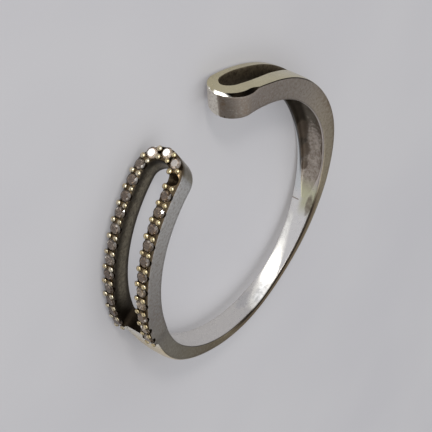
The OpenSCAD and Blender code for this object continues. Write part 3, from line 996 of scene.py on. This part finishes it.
def brilliantShape():
    c, big = stoneCut, stoneCut["radius"]
    tableR, joint = big * c["table"], 0.79 * big
    slopeTo = (joint * math.cos(math.pi / 8) - tableR) / (big - tableR)
    jointH = c["crown"] - (c["crown"] - c["girdle"]) * slopeTo
    lowJoint = 0.25 * big
    lowH = -c["point"] * (1 - lowJoint * math.cos(math.pi / 8) / big)
    points = roundOf(8, tableR, c["crown"]) + roundOf(8, joint, jointH, math.pi / 8)
    points += roundOf(16, big, c["girdle"]) + roundOf(16, big, 0)
    points += roundOf(8, lowJoint, lowH, math.pi / 8) + [(0, 0, -c["point"])]
    table, star, top, low, under, tip = 0, 8, 16, 32, 48, 56
    faces = [[table + k for k in range(8)]]
    for k in range(8):
        n = (k + 1) % 8
        g, mid, gNext = 2 * k, 2 * k + 1, (2 * k + 2) % 16
        before = (k - 1) % 8
        faces += [[table + k, star + before, top + g, star + k], [table + k, star + k, table + n],
                  [star + k, top + g, top + mid], [star + k, top + mid, top + gNext],
                  [tip, under + before, low + g, under + k], [under + k, low + g, low + mid],
                  [under + k, low + mid, low + gNext]]
    for k in range(16):
        faces.append([top + k, low + k, low + (k + 1) % 16, top + (k + 1) % 16])
    made = meshObject("brilliant", points, faces, [cutStone], False)
    mesh = made.data
    for face in mesh.polygons:
        if face.normal.dot(face.center - Vector((0, 0, -0.05))) < 0:
            face.flip()
    mesh.update()
    # every facet gets a random number for its painted shade, and each point knows how near the rim it lies
    mark(made, "facet", np.random.default_rng(c["facetSeed"]).random(len(mesh.polygons)), "FACE")
    mark(made, "rim", [math.hypot(*point[:2]) / big for point in points])
    return made


def placeTree(name):
    # Geometry Nodes: a shape on every point, its axis along "outward", then one plain mesh
    tree = bpy.data.node_groups.new(name, "GeometryNodeTree")
    kinds = {"Points": "Geometry", "Shape": "Object", "Finish": "Material", "Smallest": "Float",
             "Largest": "Float", "Tilt": "Float", "Spin": "Float", "Seed": "Int"}
    for label, kind in kinds.items():
        tree.interface.new_socket(label, in_out="INPUT", socket_type="NodeSocket" + kind)
    tree.interface.new_socket("Mesh", in_out="OUTPUT", socket_type="NodeSocketGeometry")

    def add(kind, settings, sockets, output=0):
        # one node: its settings, then the values or links of its sockets
        node = tree.nodes.new(kind)
        for key, value in settings.items():
            setattr(node, key, value)
        for key, value in sockets.items():
            if isinstance(value, bpy.types.NodeSocket):
                tree.links.new(value, node.inputs[key])
            else:
                node.inputs[key].default_value = value
        return node.outputs[output] if len(node.outputs) else None

    given = tree.nodes.new("NodeGroupInput").outputs

    def attribute(label):
        return add("GeometryNodeInputNamedAttribute", {"data_type": "FLOAT_VECTOR"}, {"Name": label})

    def randomNumber(low, high, extra):
        # sockets 2 and 3 limit a plain number, and output 1 is that number
        seed = add("ShaderNodeMath", {}, {0: given["Seed"], 1: extra})
        return add("FunctionNodeRandomValue", {"data_type": "FLOAT"}, {2: low, 3: high, "Seed": seed}, 1)

    def either(limit, extra):
        least = add("ShaderNodeMath", {"operation": "MULTIPLY"}, {0: limit, 1: -1.0})
        return randomNumber(least, limit, extra)

    upright = add("FunctionNodeAlignRotationToVector", {"axis": "Z"}, {"Vector": attribute("outward")})
    squared = add("FunctionNodeAlignRotationToVector", {"axis": "X", "pivot_axis": "Z"},
                  {"Rotation": upright, "Vector": attribute("along")})
    turns = [either(given["Tilt"], 1.0), either(given["Tilt"], 2.0), randomNumber(0.0, given["Spin"], 3.0)]
    wobble = add("ShaderNodeCombineXYZ", {}, dict(enumerate(turns)))
    asTurn = add("FunctionNodeEulerToRotation", {}, {0: wobble})
    turned = add("FunctionNodeRotateRotation", {"rotation_space": "LOCAL"}, {0: squared, 1: asTurn})
    shape = add("GeometryNodeObjectInfo", {"transform_space": "ORIGINAL"},
                {"Object": given["Shape"]}, "Geometry")
    placed = add("GeometryNodeInstanceOnPoints", {}, {
        "Points": given["Points"], "Instance": shape, "Rotation": turned,
        "Scale": randomNumber(given["Smallest"], given["Largest"], 4.0)})
    whole = add("GeometryNodeRealizeInstances", {}, {0: placed})
    dressed = add("GeometryNodeSetMaterial", {}, {"Geometry": whole, "Material": given["Finish"]})
    add("NodeGroupOutput", {}, {0: dressed})
    return tree


def placeOnRail(name, places, lift, shape, finish, kind=None, spin=0.0, extra=None):
    # a shape on each place on the rails' tops; kind is a dictionary with its sizes, tilt and seed
    a, z = places[:, 0], places[:, 1]
    spots = ringSpots(a, railRadius(a) + railCrown(a) + lift, z)
    turn = np.radians(a - 90)
    out = np.stack([np.cos(turn), np.sin(turn), 0 * turn], 1)
    tangent = np.stack([-np.sin(turn), np.cos(turn), 0 * turn], 1)
    host = meshObject(name + "Points", spots, [], (), False)
    for label, values in ({"outward": out, "along": tangent} | (extra or {})).items():
        mark(host, label, values)
    modifier = host.modifiers.new("place", "NODES")
    modifier.node_group = railTree
    values = {"Shape": shape, "Finish": finish, "Smallest": 1.0, "Largest": 1.0, "Tilt": 0.0, "Spin": spin,
              "Seed": 0}
    values |= {key.title(): value for key, value in (kind or {}).items() if key.title() in values}
    for socket in railTree.interface.items_tree:
        if socket.in_out == "INPUT" and socket.name in values:
            modifier[socket.identifier] = values[socket.name]
    mesh = changedMesh(host)
    mesh.name = name
    mesh.transform(layMatrix)
    dropObject(host)
    return sceneObject(name, mesh)


def cutAway(body, cutter):
    modifier = body.modifiers.new("cut", "BOOLEAN")
    modifier.operation, modifier.solver, modifier.object = "DIFFERENCE", "MANIFOLD", cutter
    old = body.data
    before = pointOut(body)
    body.data = changedMesh(body)
    body.modifiers.clear()
    bpy.data.meshes.remove(old)
    after = pointOut(body)
    print(f"  {cutter.name}: {before:.2f} to {after:.2f} mm3")
    dropObject(cutter)


def cutSeats():
    # a cup under each stone, and a short notch across each seat that opens it to both sides of the rail
    s = seatShape
    mouth = s["mouth"]
    profile = [(0, s["above"]), (mouth[0][0], s["above"]), *mouth, (mouth[-1][0], -s["shoulder"]),
               (s["floor"], -s["depth"]), (0, -s["depth"])]
    cup = spinShape("cup", profile, s["sides"])
    rod = s["notchLong"]
    notch = spinShape("notch", [(0, rod), (s["notch"], rod), (s["notch"], -rod), (0, -rod)], s["notchSides"])
    notch.data.transform(Matrix.Translation((0, 0, -s["notchDrop"])) @ Matrix.Rotation(math.pi / 2, 4, "X"))
    empty = stoneRow["emptySeat"] - 1
    for half in (0, 1, 2):
        # every second seat at a time, so that no two cutters meet; the empty seat last, without a notch
        if half == 2:
            places, tools = seats[empty:empty + 1], [("cups", cup, s)]
        else:
            places = seats[[k for k in range(half, len(seats), 2) if k != empty]]
            tools = [("cups", cup, s), ("notches", notch, None)]
        for label, template, kind in tools:
            cutter = placeOnRail(f"{label}{half}", places, 0.0, template, seatSilver, kind)
            giveFinish(cutter, seatFinish)
            cutAway(band, cutter)
    dropObject(cup)
    dropObject(notch)


def joinPoints(mesh, nearest):
    # the cuts leave some points almost on top of each other, which would make stray slivers
    work = bmesh.new()
    work.from_mesh(mesh)
    bmesh.ops.triangulate(work, faces=[face for face in work.faces if len(face.verts) > 4])
    bmesh.ops.dissolve_degenerate(work, dist=nearest, edges=work.edges[:])
    work.to_mesh(mesh)
    work.free()
    mesh.update()


def dressBand():
    # smooth faces with sharp edges, and the way each corner faces: outward, up and along
    mesh = band.data
    mesh.name = "bandMetal"
    joinPoints(mesh, cutDetail["together"])
    smooth(mesh, 34)
    count = len(mesh.loops)
    corner = np.zeros(count * 3, np.float32)
    mesh.corner_normals.foreach_get("vector", corner)
    vertexOf = np.zeros(count, np.int32)
    mesh.loops.foreach_get("vertex_index", vertexOf)
    co = np.array([v.co for v in mesh.vertices], float)
    back = np.array(leanMatrix, float)
    flat = (co * 1000 - np.array(ring["shift"])) @ back
    way = corner.reshape(-1, 3).astype(float) @ back
    out = flat[vertexOf, :2]
    out /= np.linalg.norm(out, axis=1)[:, None]
    sideward = way[:, 1] * out[:, 0] - way[:, 0] * out[:, 1]
    parts = np.stack([(way[:, :2] * out).sum(1), way[:, 2], sideward], 1)
    mark(band, "faceWay", parts, "CORNER")


railTree = placeTree("placeOnRailTree")
seats = seatPlaces()
band = buildBand()
print("band body:", len(band.data.polygons), "faces")
cutAway(band, jewelledSlotCutter())
cutAway(band, hollowCutter())
cutAway(band, plainSlotCutter())
cutSeats()
dressBand()
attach(band, "root")
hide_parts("band")
print("band cut and dressed:", len(band.data.polygons), "faces")


def makeBeads():
    s = beadShape
    top, dome = s["rise"], s["dome"]
    fall = dome * s["flatness"]
    cap = [(dome * math.sin(t), top - fall * (1 - math.cos(t))) for t in np.radians(s["domeSteps"])]
    foot = [(dome * share, height) for share, height in s["foot"]]
    bead = spinShape("bead", [(0, top)] + cap + foot + [(0, foot[-1][1])], s["sides"], [beadSilver])
    # how far down its side each point of a bead lies
    mark(bead, "low", [(top - v.co.z) / (top + 0.02) for v in bead.data.vertices])
    made = placeOnRail("beads", beadPlaces(seats), s["lift"], bead, beadSilver, s, anyTurn)
    dropObject(bead)
    smooth(made.data, 50)
    return made


beads = makeBeads()
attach(beads, "root")
print("beads:", len(beads.data.polygons), "faces")


def makeStones(places):
    # the stones at the tip get a painted flash; the rest differ in tone
    s = stoneCut
    flash = np.zeros(len(places))
    flash[s["firstFlash"]:s["firstFlash"] + len(s["flashes"])] = s["flashes"]
    tone = np.random.default_rng(s["toneSeed"]).random(len(places))
    brilliant = brilliantShape()
    made = placeOnRail("stones", places, s["rise"] - s["crown"], brilliant, cutStone, s, anyTurn,
                       {"flash": flash, "tone": tone})
    dropObject(brilliant)
    return made


filled = np.delete(seats, stoneRow["emptySeat"] - 1, 0)
stones = makeStones(filled)
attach(stones, "root")
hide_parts(*[f"stone_{k:02d}" for k in range(1, len(filled) + 1)])
print("stones:", len(filled))

# Camera, floor and light
camera = {"spot": (0.035812, -0.078739, 0.054049), "turn": (-36.7161, -49.1418, 158.8098), "lens": 133.567}
cameraData = bpy.data.cameras.new("camera")
cameraData.lens, cameraData.sensor_width = camera["lens"], 36.0
cameraData.clip_start, cameraData.clip_end = 0.005, 5.0
cameraObject = sceneObject("camera", cameraData)
cameraObject.location = camera["spot"]
cameraObject.rotation_euler = [math.radians(d) for d in camera["turn"]]
bpy.context.scene.camera = cameraObject


tabletop = {"half": 1, "darker": (0.365, 0.36, 0.374), "lighter": (0.384, 0.379, 0.389),
            "cloudScale": 60.0, "ownLight": 0.40}


def floorMaterial():
    # a pale lit tabletop: part of its light comes from below, which keeps shadows soft
    s = tabletop
    f = Finish("paleFloor", s)
    spot = f.node("ShaderNodeTexCoord", output=3)
    soft = f.node("ShaderNodeTexNoise", None, {"Vector": spot, "Scale": s["cloudScale"], "Detail": 2.0})
    base = f.blend(soft.rising(0.3, 0.7), "darker", "lighter")
    return f.surface(f.node("ShaderNodeBsdfPrincipled", None, {
        "Base Color": base, "Roughness": 0.8, "Specular IOR Level": 0.1, "Emission Color": base,
        "Emission Strength": s["ownLight"]}))


edge = tabletop["half"]
corners = [(-edge, -edge, 0), (edge, -edge, 0), (edge, edge, 0), (-edge, edge, 0)]
floor = meshObject("floor", corners, [[0, 1, 2, 3]], [floorMaterial()], False)

# The room: dark low down, a grey wall above, one soft window in front and one overhead.
room = {"low": 0.04, "wall": 0.31, "window": 1.5, "overhead": 0.9, "tint": colour(0.97, 0.98, 1.0)}


def buildRoom():
    f = Finish("softRoom", owner=bpy.data.worlds.new("softRoom"))
    y, z = f.parts(f.node("ShaderNodeTexCoord", output=0))[1:]
    glow = room["low"] + z.rising(0.12, 0.46) * room["wall"] + z.rising(0.62, 0.9) * room["overhead"]
    glow = glow + y.rising(-0.75, -0.35, 1.0, 0.0) * z.between(0.30, 0.66, 0.07) * room["window"]
    light = f.node("ShaderNodeBackground", None, {"Color": room["tint"], "Strength": glow})
    f.node("ShaderNodeOutputWorld", None, {"Surface": light})
    return f.material


bpy.context.scene.world = buildRoom()

# One small bright lamp in front for the glints on beads and facets, and the soft shadow behind the ring.
lamp = {"spot": (0.01, -0.15, 0.085), "size": 0.026, "watts": 0.08, "tint": (1.0, 0.97, 0.92)}
lampData = bpy.data.lights.new("glintLamp", "AREA")
lampData.shape, lampData.size = "DISK", lamp["size"]
lampData.energy, lampData.color = lamp["watts"], lamp["tint"]
lampObject = sceneObject("glintLamp", lampData)
lampObject.location = lamp["spot"]
lampObject.rotation_euler = (-Vector(lamp["spot"])).to_track_quat("-Z", "Y").to_euler()
bpy.context.scene.view_settings.view_transform = "Standard"
print("camera, floor and light set")
